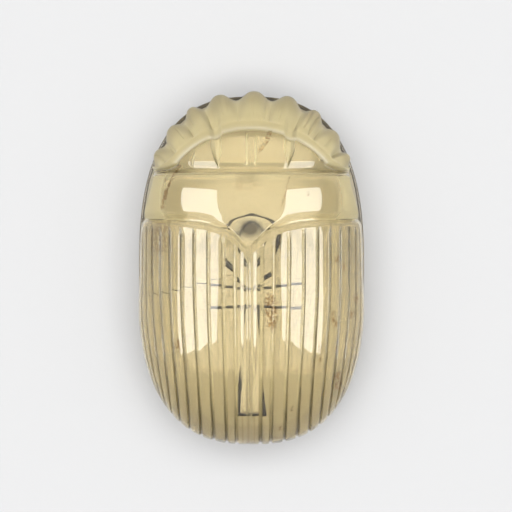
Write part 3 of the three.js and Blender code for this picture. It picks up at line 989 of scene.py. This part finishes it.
@dataclass
class Engraving:
    """The looped cross under the slab, drawn in outline with a pointed tool.

    Attributes:
        depth: Depth of its lines.
        width: Their width.
        loop_top: Place of the loop's top along the amulet.
        loop_half_width: Half the loop's width.
        loop_band: Distance between the loop's two lines.
        loop_steps: Points on each of them.
        cross_top: Place of the cross bar's upper line.
        cross_bar: Height of the cross bar in its middle.
        cross_flare: How far each line of the bar spreads at the ends.
        cross_half_width: Half the bar's width.
        stem_foot: Place of the stem's foot.
        stem_half_width: Half the stem's width under the bar.
        stem_flare: How far it spreads on each side to the foot.
    """

    depth: float = 0.2
    width: float = 0.46
    loop_top: float = 8.5
    loop_half_width: float = 3.2
    loop_band: float = 1.6
    loop_steps: int = 40
    cross_top: float = -2.8
    cross_bar: float = 1.9
    cross_flare: float = 0.6
    cross_half_width: float = 4.4
    stem_foot: float = -17.4
    stem_half_width: float = 0.85
    stem_flare: float = 0.8

    def loop(self, inset: float) -> np.ndarray:
        """One of the lines of the loop.

        Args:
            inset: How far inside the outer line it runs.

        Returns:
            The line's plan points.
        """
        turn = np.linspace(0.06, 0.94, self.loop_steps) * 2 * math.pi
        height = (1 - np.cos(turn)) / 2
        x = -np.sin(turn) * (self.loop_half_width - inset) * (0.55 + 0.45 * height**0.7)
        return np.stack([x, blend(self.cross_top + inset * 1.6, self.loop_top - inset, height)], axis=1)

    def lines(self) -> list[np.ndarray]:
        """All the figure's lines.

        Returns:
            The plan points of each line.
        """
        bottom = self.cross_top - self.cross_bar
        made = [self.loop(0), self.loop(self.loop_band)]
        for side in (-1, 1):
            end = side * self.cross_half_width
            upper = [(side * 0.2, self.cross_top), (end, self.cross_top + self.cross_flare)]
            lower = [
                (end, bottom - self.cross_flare),
                (side * self.stem_half_width, bottom),
                (side * (self.stem_half_width + self.stem_flare), self.stem_foot),
                (side * 0.1, self.stem_foot),
            ]
            made += [np.array(upper), np.array(lower)]
        return made

    def cutter(self, line: np.ndarray) -> bpy.types.Object:
        """A bar of wedge section along one line, which cuts its groove.

        Args:
            line: The line's plan points.

        Returns:
            The bar.
        """
        run = np.diff(line, axis=0)
        run /= np.linalg.norm(run, axis=1)[:, None]
        before, after = np.vstack([run[:1], run]), np.vstack([run, run[-1:]])
        along = before + after
        along /= np.linalg.norm(along, axis=1)[:, None]
        mitre = self.width / 2 / np.maximum((along * after).sum(axis=1), 0.5)[:, None]
        side = np.stack([-along[:, 1], along[:, 0]], axis=1) * mitre
        low = np.full(len(line), -self.depth)
        rings = [
            np.column_stack([line + side, low]),
            np.column_stack([line - side, low]),
            np.column_stack([line - side * 0.35, -low]),
            np.column_stack([line + side * 0.35, -low]),
        ]
        points = np.stack(rings, axis=1).reshape(-1, 3)
        faces = [(3, 2, 1, 0), tuple(4 * (len(line) - 1) + k for k in range(4))]
        for k in range(len(line) - 1):
            for c in range(4):
                a, b = 4 * k + c, 4 * k + (c + 1) % 4
                faces.append((a, b, b + 4, a + 4))
        return new_object("cutter", points, faces)


def new_object(name: str, points: np.ndarray, faces: list[tuple[int, ...]]) -> bpy.types.Object:
    """A mesh object from points in millimetres.

    Args:
        name: The object's name.
        points: Its vertices.
        faces: Its faces, as tuples of vertex numbers.

    Returns:
        The object, linked to the scene.
    """
    mesh = bpy.data.meshes.new(name)
    mesh.from_pydata((points * MM).tolist(), [], faces)
    mesh.validate()
    made = bpy.data.objects.new(name, mesh)
    bpy.context.scene.collection.objects.link(made)
    return made


class Signal:
    """A socket that carries one number. Python's operators on it add Math nodes."""

    def __init__(self, graph: "Graph", socket: bpy.types.NodeSocket) -> None:
        """Wraps a socket of a graph."""
        self.graph = graph
        self.socket = socket

    def _math(self, operation: str, first: Any, second: Any) -> "Signal":
        """Adds a Math node."""
        node = self.graph.node("ShaderNodeMath", {"operation": operation}, {0: first, 1: second})
        return Signal(self.graph, node.outputs[0])

    def __add__(self, other: Any) -> "Signal":
        """This plus other."""
        return self._math("ADD", self, other)

    def __radd__(self, other: Any) -> "Signal":
        """Other plus this."""
        return self._math("ADD", other, self)

    def __sub__(self, other: Any) -> "Signal":
        """This minus other."""
        return self._math("SUBTRACT", self, other)

    def __rsub__(self, other: Any) -> "Signal":
        """Other minus this."""
        return self._math("SUBTRACT", other, self)

    def __mul__(self, other: Any) -> "Signal":
        """This times other."""
        return self._math("MULTIPLY", self, other)

    def __rmul__(self, other: Any) -> "Signal":
        """Other times this."""
        return self._math("MULTIPLY", other, self)

    def __truediv__(self, other: Any) -> "Signal":
        """This over other."""
        return self._math("DIVIDE", self, other)

    def __rtruediv__(self, other: Any) -> "Signal":
        """Other over this."""
        return self._math("DIVIDE", other, self)

    def __pow__(self, other: Any) -> "Signal":
        """This to a power."""
        return self._math("POWER", self, other)

    def __rpow__(self, other: Any) -> "Signal":
        """Other to the power of this."""
        return self._math("POWER", other, self)

    def over(self, other: Any) -> "Signal":
        """The larger of this and other."""
        return self._math("MAXIMUM", self, other)

    def step(self, low: float, high: float) -> "Signal":
        """Rises smoothly from 0 to 1.

        Args:
            low: Value up to which it is 0.
            high: Value from which it is 1.

        Returns:
            The step.
        """
        inputs = {"Value": self, "From Min": low, "From Max": high}
        node = self.graph.node("ShaderNodeMapRange", {"interpolation_type": "SMOOTHSTEP"}, inputs)
        return Signal(self.graph, node.outputs[0])


@dataclass
class Graph:
    """The node tree of one material.

    Attributes:
        tree: The tree.
    """

    tree: bpy.types.NodeTree

    def node(
        self, kind: str, settings: dict[str, Any] | None = None, inputs: dict[Any, Any] | None = None
    ) -> bpy.types.Node:
        """Adds a node.

        Args:
            kind: The node's type.
            settings: Its properties, which are set first. "stops" holds a ramp's places and colours.
            inputs: Values, sockets or signals, by the name or number of their socket.

        Returns:
            The node.
        """
        node = self.tree.nodes.new(kind)
        for name, value in (settings or {}).items():
            if name == "stops":
                for place, colour in value[1:-1]:
                    node.color_ramp.elements.new(place).color = colour
                node.color_ramp.elements[0].position, node.color_ramp.elements[0].color = value[0]
                node.color_ramp.elements[-1].position, node.color_ramp.elements[-1].color = value[-1]
            else:
                setattr(node, name, value)
        for name, value in (inputs or {}).items():
            target = node.inputs[name]
            if isinstance(value, Signal):
                self.tree.links.new(value.socket, target)
            elif isinstance(value, bpy.types.NodeSocket):
                self.tree.links.new(value, target)
            else:
                target.default_value = value
        return node

    def signal(self, kind: str, settings: dict[str, Any], inputs: dict[Any, Any], output: Any = 0) -> Signal:
        """Adds a node and gives one of its outputs as a number."""
        return Signal(self, self.node(kind, settings, inputs).outputs[output])

    def mix(self, factor: Signal, first: Any, second: Any) -> bpy.types.NodeSocket:
        """Mixes two colours by a factor."""
        node = self.node("ShaderNodeMix", {"data_type": "RGBA"}, {0: factor, 6: first, 7: second})
        return node.outputs[2]

    def share(self, name: str) -> Signal:
        """Reads one of the mesh's attributes."""
        return self.signal("ShaderNodeAttribute", {"attribute_name": name}, {}, "Fac")

    def noise(self, place: Any, scale: float, detail: float) -> Signal:
        """Noise around 0.5, with as many features in a unit of length as scale says."""
        return self.signal("ShaderNodeTexNoise", {}, {"Vector": place, "Scale": scale, "Detail": detail})


@dataclass(frozen=True)
class Stain:
    """A stain in a fine crack, between two places, or a round speck where they are equal.

    Attributes:
        start: Its first end, in millimetres.
        end: Its other end.
        width: Its half width.
        strength: How dark it is, from 0 to 1.
    """

    start: tuple[float, float]
    end: tuple[float, float]
    width: float
    strength: float

    def mask(self, points: np.ndarray) -> np.ndarray:
        """The stain as a mask over the stone's points, seen from above.

        Args:
            points: The points.

        Returns:
            How strongly each point is stained.
        """
        run = np.subtract(self.end, self.start)
        away = points[:, :2] - self.start
        along = np.clip(away @ run / max(run @ run, 1e-9), 0, 1)
        distance = np.hypot(*(away - along[:, None] * run).T)
        return self.strength * (1 - smooth(distance, self.width * 0.5, self.width * 1.7))


@dataclass(frozen=True)
class ClearStone:
    """Clear, pale yellow stone with brown stain in its cracks, polished on top, ground in the cuts.

    The mesh says with its attributes how ground and stained each point is, how much grime and painted shade
    it carries, and how much shade is painted in the collar's point.

    Attributes:
        clear: The stone's own colour, which light takes on at each face that it passes.
        brown: Colour of the stain in cracks.
        frosted: The stone's colour where it is ground.
        soil: Colour of the grime on the back, collar and face, and of the shade painted on the sides of the
            wing cases, the frill, the flanks and the slab.
        powder: Colour of the light that a ground surface scatters.
        powder_grind: Roughness of that scatter.
        scatter: Share of the light that the most ground surface scatters.
        dark_and_painted_shade: Near-black colour of the engraved lines and of the shade painted in the
            collar's point.
        refraction: Index of refraction.
        polish: Roughness of the polished parts.
        grind: Roughness added where the stone is ground.
        line_grind: Roughness added in the engraved lines.
        line_floor: Heights between which the near-black colour sets in over the underside.
        line_top: Heights between which it ends again.
        figure_reach: Half width and half length of the oval that holds the engraving.
        stain_gain: How strongly the stains show before noise breaks them up.
        specks: How strongly scattered faint specks show.
        smoke: Strength of the shade painted in the collar's point, from 0 to 1.
        point_shade_place: Its middle.
        point_shade_size: Its half width and half length.
        point_shade_spread: How much of its middle is evenly dark. At 1 it fades from the very middle.
        point_shade_floor: Height over which that painted shade lies.
        stains: Cracks and specks.
    """

    clear: tuple[float, float, float, float] = (0.745, 0.66, 0.445, 1)
    brown: tuple[float, float, float, float] = (0.2, 0.1, 0.03, 1)
    frosted: tuple[float, float, float, float] = (0.96, 0.91, 0.63, 1)
    soil: tuple[float, float, float, float] = (0.24, 0.18, 0.09, 1)
    powder: tuple[float, float, float, float] = (0.42, 0.355, 0.185, 1)
    powder_grind: float = 0.8
    scatter: float = 0.36
    dark_and_painted_shade: tuple[float, float, float, float] = (0.015, 0.011, 0.008, 1)
    refraction: float = 1.54
    polish: float = 0.03
    grind: float = 0.32
    line_grind: float = 0.4
    line_floor: tuple[float, float] = (0.004, 0.02)
    line_top: tuple[float, float] = (0.24, 0.3)
    figure_reach: tuple[float, float] = (11.0, 19.0)
    stain_gain: float = 1.8
    specks: float = 0.1
    smoke: float = 0.96
    point_shade_place: tuple[float, float] = (-0.2, 5.4)
    point_shade_size: tuple[float, float] = (1.7, 1.3)
    point_shade_spread: float = 1.3
    point_shade_floor: float = 10.0
    stains: tuple[Stain, ...] = (
        Stain((-10.0, 14.2), (-10.7, 13.0), 0.18, 0.68),
        Stain((-10.7, 13.0), (-11.8, 10.6), 0.17, 0.74),
        Stain((-11.8, 10.6), (-12.4, 8.3), 0.23, 1.0),
        Stain((5.2, 12.4), (4.6, 9.9), 0.11, 0.61),
        Stain((4.6, 9.9), (3.9, 8.0), 0.11, 0.68),
        Stain((2.6, 18.9), (2.1, 17.5), 0.22, 1.0),
        Stain((2.1, 17.5), (1.1, 16.1), 0.19, 0.9),
        Stain((2.5, -4.3), (2.9, -7.7), 0.63, 0.9),
        Stain((-10.3, -10.4), (-10.2, -11.0), 0.46, 0.81),
        Stain((-12.6, 5.0), (-12.6, 3.4), 1.49, 0.41),
        Stain((-1.4, 12.4), (-1.6, 11.2), 0.57, 0.22),
        Stain((0.1, 12.4), (0.0, 11.4), 0.69, 0.22),
        Stain((12.1, -15.0), (12.1, -16.6), 0.46, 0.81),
        Stain((11.9, 1.2), (11.9, 1.2), 0.34, 1.0),
        Stain((12.8, 0.1), (12.8, 0.1), 0.29, 0.94),
        Stain((11.4, -6.5), (11.6, -7.9), 0.29, 0.81),
        Stain((14.0, -6.2), (14.0, -6.7), 0.29, 0.68),
        Stain((14.6, -4.0), (14.6, -4.6), 0.29, 0.68),
        Stain((9.5, -11.1), (9.5, -11.1), 0.29, 0.81),
        Stain((9.5, -12.8), (9.5, -12.8), 0.25, 0.81),
        Stain((11.7, -11.2), (11.7, -11.2), 0.29, 0.81),
        Stain((4.1, -22.4), (4.1, -22.4), 0.29, 0.68),
        Stain((5.6, -19.6), (5.6, -19.6), 0.23, 0.68),
        Stain((7.8, 10.1), (7.8, 10.1), 0.18, 0.68),
        Stain((-11.9, 12.2), (-11.9, 12.2), 0.23, 0.54),
    )

    def point_shaded(self, points: np.ndarray) -> np.ndarray:
        """The shade painted in the point of the collar.

        Args:
            points: The stone's points.

        Returns:
            How much shade is painted on each point, from 0 to 1.
        """
        across = (points[:, 0] - self.point_shade_place[0]) / self.point_shade_size[0]
        along = (points[:, 1] - self.point_shade_place[1]) / self.point_shade_size[1]
        patch = np.minimum(1, self.point_shade_spread * np.exp(-across**2 - along**2))
        return self.smoke * patch * (points[:, 2] > self.point_shade_floor)

    def stained(self, points: np.ndarray, lowest: float) -> np.ndarray:
        """All the stains together.

        Args:
            points: The stone's points.
            lowest: Height under which there are none.

        Returns:
            How stained each point is, from 0 to 1.
        """
        masks = np.max([stain.mask(points) for stain in self.stains], axis=0)
        return masks * smooth(points[:, 2], lowest, lowest + 2)

    def material(self) -> bpy.types.Material:
        """Builds the stone's material.

        Returns:
            The material.
        """
        made = bpy.data.materials.new("clear_stone")
        made.use_nodes = True
        graph = Graph(made.node_tree)
        graph.tree.nodes.clear()
        object_place = graph.node("ShaderNodeTexCoord").outputs["Object"]
        settings = {"operation": "SCALE"}
        place = graph.node("ShaderNodeVectorMath", settings, {0: object_place, "Scale": 1 / MM}).outputs[0]
        split = graph.node("ShaderNodeSeparateXYZ", {}, {0: place})
        x, y, z = (Signal(graph, split.outputs[k]) for k in range(3))
        ground = graph.share("ground")
        fine = graph.noise(place, 2.2, 3.0)
        stain = graph.share("stain") * self.stain_gain * graph.noise(place, 3.2, 2.0).step(0.4, 0.58)
        specks = fine.step(0.64, 0.8) * self.specks
        cut_depth = (1 - z.step(*self.line_top)) * z.step(*self.line_floor)
        across, along = x / self.figure_reach[0], y / self.figure_reach[1]
        engraved = cut_depth * (1 - (across**2 + along**2).step(0.9, 1.0))
        colour = graph.mix(ground, self.clear, self.frosted)
        # Mixes in the colour for grime and painted shade: grime on the back, collar and face, and painted
        # shade on the sides of the wing cases, the frill, the flanks and the slab.
        colour = graph.mix(graph.share("soil") * z.step(0.0, 0.6), colour, self.soil)
        # Painted shade in the collar's point, in the near-black colour.
        colour = graph.mix(graph.share("smoke"), colour, self.dark_and_painted_shade)
        colour = graph.mix(stain.over(specks), colour, self.brown)
        # The engraved lines are coloured near black.
        colour = graph.mix(engraved, colour, self.dark_and_painted_shade)
        rough = ground * self.grind + fine * 0.02 + self.polish + engraved * self.line_grind
        grain = graph.noise(place, 9.0, 3.0)
        height = grain * (ground * 0.8 + 0.01)
        bumped = graph.node("ShaderNodeBump", {}, {"Strength": 0.25, "Distance": 0.00006, "Height": height})
        inputs = {
            "Base Color": colour,
            "Roughness": rough,
            "IOR": self.refraction,
            "Transmission Weight": 1.0,
            "Normal": bumped.outputs[0],
        }
        clear = graph.node("ShaderNodeBsdfPrincipled", {}, inputs)
        inputs = {"Base Color": self.powder, "Roughness": self.powder_grind, "Normal": bumped.outputs[0]}
        powdery = graph.node("ShaderNodeBsdfPrincipled", {}, inputs)
        inputs = {0: ground.step(0.35, 1.0) * self.scatter, 1: clear.outputs[0], 2: powdery.outputs[0]}
        mixed = graph.node("ShaderNodeMixShader", {}, inputs)
        graph.node("ShaderNodeOutputMaterial", {}, {"Surface": mixed.outputs[0]})
        return made


@dataclass(frozen=True)
class Paper:
    """Matt white paper.

    Attributes:
        colour: Its colour.
        grain: Features of its fibre in each metre.
        relief: Depth of the fibre, in metres.
        matt: Its roughness.
    """

    colour: tuple[float, float, float, float] = (0.3, 0.3, 0.302, 1)
    grain: float = 900.0
    relief: float = 0.0002
    matt: float = 0.9

    def material(self) -> bpy.types.Material:
        """Builds the paper's material.

        Returns:
            The material.
        """
        made = bpy.data.materials.new("paper")
        made.use_nodes = True
        graph = Graph(made.node_tree)
        graph.tree.nodes.clear()
        place = graph.node("ShaderNodeTexCoord").outputs["Object"]
        fibre = graph.noise(place, self.grain, 3.0)
        inputs = {"Strength": 0.08, "Distance": self.relief, "Height": fibre}
        bumped = graph.node("ShaderNodeBump", {}, inputs)
        inputs = {"Base Color": self.colour, "Roughness": self.matt, "Normal": bumped.outputs[0]}
        shader = graph.node("ShaderNodeBsdfPrincipled", {}, inputs)
        graph.node("ShaderNodeOutputMaterial", {}, {"Surface": shader.outputs[0]})
        return made


@dataclass
class Amulet:
    """The whole amulet as one closed mesh.

    Attributes:
        dome: The dome that it is carved from.
        finish: The stone.
        crease: Degrees from which an edge is shaded sharp.
        engraving: The figure under the slab.
    """

    dome: Dome
    finish: ClearStone
    crease: float = 34.0
    engraving: Engraving = field(default_factory=Engraving)

    def build(self) -> bpy.types.Object:
        """Builds the stone, cuts the engraving and dresses it.

        Returns:
            The stone.
        """
        wings = WingCases(self.dome)
        head = Head(self.dome, intervals=wings.intervals)
        collar = Collar(self.dome, wings, head)
        flank = Flank(self.dome)
        rows = wings.rows(np.random.default_rng(SEED))
        stone = self.join(rows + collar.rows() + head.face() + head.frill(), flank)
        self.cut_figure(stone)
        stone.data.shade_smooth()
        stone.data.set_sharp_from_angle(angle=math.radians(self.crease))
        stone.data.materials.clear()
        stone.data.materials.append(self.finish.material())
        return stone

    def join(self, rows: list[Row], flank: Flank) -> bpy.types.Object:
        """Joins the rows of the back, the flank and the slab into one closed mesh.

        Args:
            rows: Rows from the tail to the frill.
            flank: The flank and slab.

        Returns:
            The mesh object, with its finish stored as attributes.
        """
        width = len(rows[0].points)
        last = width - 1
        points = [row.points for row in rows]
        ground = [row.ground for row in rows]
        number = np.arange(width * len(rows)).reshape(len(rows), width)
        quads = np.stack([number[:-1, :-1], number[:-1, 1:], number[1:, 1:], number[1:, :-1]], axis=-1)
        faces = [tuple(q) for q in quads.reshape(-1, 4).tolist()]
        girth = np.concatenate([number[0], number[1:, last], number[-1, :last][::-1], number[1:-1, 0][::-1]])
        places = np.concatenate(points)[girth]
        upper, count = girth.tolist(), width * len(rows)
        lip = flank.lip / (self.dome.girth - flank.slab_height)
        on_lip = np.linspace(0, lip, flank.lip_levels + 1)[1:]
        under_lip = np.linspace(on_lip[-1], 1, flank.levels)[1:]
        rings = [(flank.ring(places, down), Ground.CUT) for down in on_lip]
        half = places[::2]
        rings += [(flank.ring(half, down), Ground.CUT) for down in under_lip]
        rings += [(ring, Ground.WORN) for ring in flank.slab_rings(half)]
        for ring, shade in rings:
            lower = list(range(count, count + len(ring)))
            count += len(ring)
            points.append(ring)
            ground.append(np.full(len(ring), shade.value))
            faces += self.band(upper, lower)
            upper = lower
        points.append(np.array([[0, self.dome.oval.centre_y, 0]]))
        ground.append(np.array([Ground.WORN.value]))
        faces += [(upper[(k + 1) % len(upper)], upper[k], count) for k in range(len(upper))]
        points = np.concatenate(points)
        stone = new_object("scarab_stone", points, faces)
        stained = self.finish.stained(points, flank.slab_height)
        # How much grime and painted shade each point carries.
        soiled_and_shaded = np.zeros(len(points))
        soiled_and_shaded[: width * len(rows)] = np.concatenate([row.soil + np.zeros(width) for row in rows])
        # The flank and the slab are darkened all over with painted shade.
        soiled_and_shaded[width * len(rows) : -1] = flank.soil
        # Shade painted in the collar's point; the stone there is also made more matt.
        point_shading = self.finish.point_shaded(points)
        ground = np.maximum(np.concatenate(ground), Ground.GROOVE.value * smooth(point_shading, 0.05, 0.4))
        finish = {"ground": ground, "stain": stained, "soil": soiled_and_shaded, "smoke": point_shading}
        for name, values in finish.items():
            layer = stone.data.attributes.new(name, "FLOAT", "POINT")
            layer.data.foreach_set("value", values.astype(np.float32))
        return stone

    @staticmethod
    def band(upper: list[int], lower: list[int]) -> list[tuple[int, ...]]:
        """Joins two rings with faces.

        Args:
            upper: Vertex numbers of the upper ring.
            lower: Those of the lower ring, as many or half as many.

        Returns:
            The faces between them.
        """
        count, made = len(lower), []
        for k in range(count):
            after = (k + 1) % count
            if len(upper) == count:
                made.append((upper[k], lower[k], lower[after], upper[after]))
            else:
                a, b, c = upper[2 * k], upper[2 * k + 1], upper[(2 * k + 2) % len(upper)]
                made += [(a, lower[k], b), (b, lower[k], lower[after]), (b, lower[after], c)]
        return made

    def cut_figure(self, stone: bpy.types.Object) -> None:
        """Cuts the engraving's lines into the underside.

        Args:
            stone: The stone, whose mesh is replaced by the cut one.
        """
        for line in self.engraving.lines():
            cutter = self.engraving.cutter(line)
            cutting = stone.modifiers.new("cut", "BOOLEAN")
            cutting.operation = "DIFFERENCE"
            cutting.solver = "MANIFOLD"
            cutting.object = cutter
            graph = bpy.context.evaluated_depsgraph_get()
            carved = bpy.data.meshes.new_from_object(stone.evaluated_get(graph))
            stone.modifiers.clear()
            stone.data = carved
            bpy.data.objects.remove(cutter)


@dataclass
class Studio:
    """The paper, the two soft lights beside the amulet, the broad light over it, the room and the camera.

    Attributes:
        paper: The paper that the amulet lies on.
        paper_reach: Half the paper's width, in millimetres.
        paper_gap: How far the paper lies under the stone, in millimetres.
        light_distance: How far the soft lights hang from the amulet, in metres.
        light_tilt: Degrees by which each leans away from straight above.
        light_width: Its width, in metres.
        light_length: Its length along the amulet, in metres.
        light_power: Its power.
        overhead_height: Height of the broad light, in metres.
        overhead_size: Its side, in metres.
        overhead_power: Its power.
        room: Strength of the light that the room gives from all sides.
        frame_width: Width that the picture shows, in millimetres.
        frame_centre: Middle of the picture, in millimetres.
        focus_height: Height at which the picture is that wide, in millimetres.
        lens: Focal length of the camera, in millimetres.
        sensor: Width of its sensor, in millimetres.
    """

    paper: Paper = field(default_factory=Paper)
    paper_reach: float = 600.0
    paper_gap: float = 0.03
    light_distance: float = 0.6
    light_tilt: float = 44.5
    light_width: float = 0.45
    light_length: float = 0.58
    light_power: float = 5.8
    overhead_height: float = 0.8
    overhead_size: float = 0.9
    overhead_power: float = 17.5
    room: float = 0.8
    frame_width: float = 72.62
    frame_centre: tuple[float, float] = (0.64, 1.63)
    focus_height: float = 7.0
    lens: float = 180.0
    sensor: float = 36.0

    def build(self) -> None:
        """Lays the paper, hangs the lights and puts up the camera."""
        sides = ((-1, -1), (1, -1), (1, 1), (-1, 1))
        corners = np.array([(x * self.paper_reach, y * self.paper_reach, -self.paper_gap) for x, y in sides])
        floor = new_object("floor", corners, [(0, 1, 2, 3)])
        floor.data.materials.append(self.paper.material())
        for side in (-1, 1):
            self.soft_light(side)
        self.overhead_light()
        world = bpy.data.worlds.new("room")
        world.use_nodes = True
        glow = world.node_tree.nodes["Background"]
        glow.inputs["Color"].default_value = (1.0, 1.0, 1.0, 1)
        glow.inputs["Strength"].default_value = self.room
        bpy.context.scene.world = world
        bpy.context.scene.view_settings.view_transform = "Standard"
        bpy.context.scene.cycles.blur_glossy = 0.0
        self.camera()

    def soft_light(self, side: int) -> None:
        """Hangs a soft light beside the amulet, turned to face it. It shows only as a reflection.

        Args:
            side: -1 for the left side, 1 for the right one.
        """
        lamp = bpy.data.lights.new("soft_light", "AREA")
        lamp.shape = "RECTANGLE"
        lamp.size, lamp.size_y = self.light_width, self.light_length
        lamp.energy = self.light_power
        holder = bpy.data.objects.new("soft_light", lamp)
        tilt = math.radians(self.light_tilt) * side
        holder.location = (math.sin(tilt) * self.light_distance, 0.0, math.cos(tilt) * self.light_distance)
        holder.rotation_euler = (0.0, tilt, 0.0)
        holder.visible_diffuse = holder.visible_transmission = False
        bpy.context.scene.collection.objects.link(holder)

    def overhead_light(self) -> None:
        """Hangs a broad light over the paper. Its mirror image is taken out, as by a polariser."""
        lamp = bpy.data.lights.new("overhead_light", "AREA")
        lamp.size, lamp.energy = self.overhead_size, self.overhead_power
        holder = bpy.data.objects.new("overhead_light", lamp)
        holder.location = (0.0, 0.0, self.overhead_height)
        holder.visible_glossy = False
        bpy.context.scene.collection.objects.link(holder)

    def camera(self) -> None:
        """Puts the camera straight above, with the head up in its view."""
        lens = bpy.data.cameras.new("camera")
        lens.lens, lens.sensor_width = self.lens, self.sensor
        lens.clip_start, lens.clip_end = 0.01, 10.0
        holder = bpy.data.objects.new("camera", lens)
        away = self.frame_width * self.lens / self.sensor + self.focus_height
        holder.location = (self.frame_centre[0] * MM, self.frame_centre[1] * MM, away * MM)
        bpy.context.scene.collection.objects.link(holder)
        bpy.context.scene.camera = holder


def body_from_frame() -> Dome:
    """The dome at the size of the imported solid.

    Returns:
        The dome, with its oval in millimetres.
    """
    low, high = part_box("scarab")
    tail, tip = low.y / MM, high.y / MM
    rear, front = tail + Dome.tail_overhang, tip - Head.overhang
    oval = Oval((high.x - low.x) / MM / 2, (front - rear) / 2, (front + rear) / 2)
    return Dome(oval)


def main() -> None:
    """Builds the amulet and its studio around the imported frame."""
    logging.basicConfig(level=logging.INFO, format="%(name)s: %(message)s")
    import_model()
    Studio().build()
    stone = Amulet(body_from_frame(), ClearStone()).build()
    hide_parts("scarab")
    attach(stone, "root")
    LOG.info("%s: %d faces", stone.name, len(stone.data.polygons))


if __name__ == "__main__":
    main()
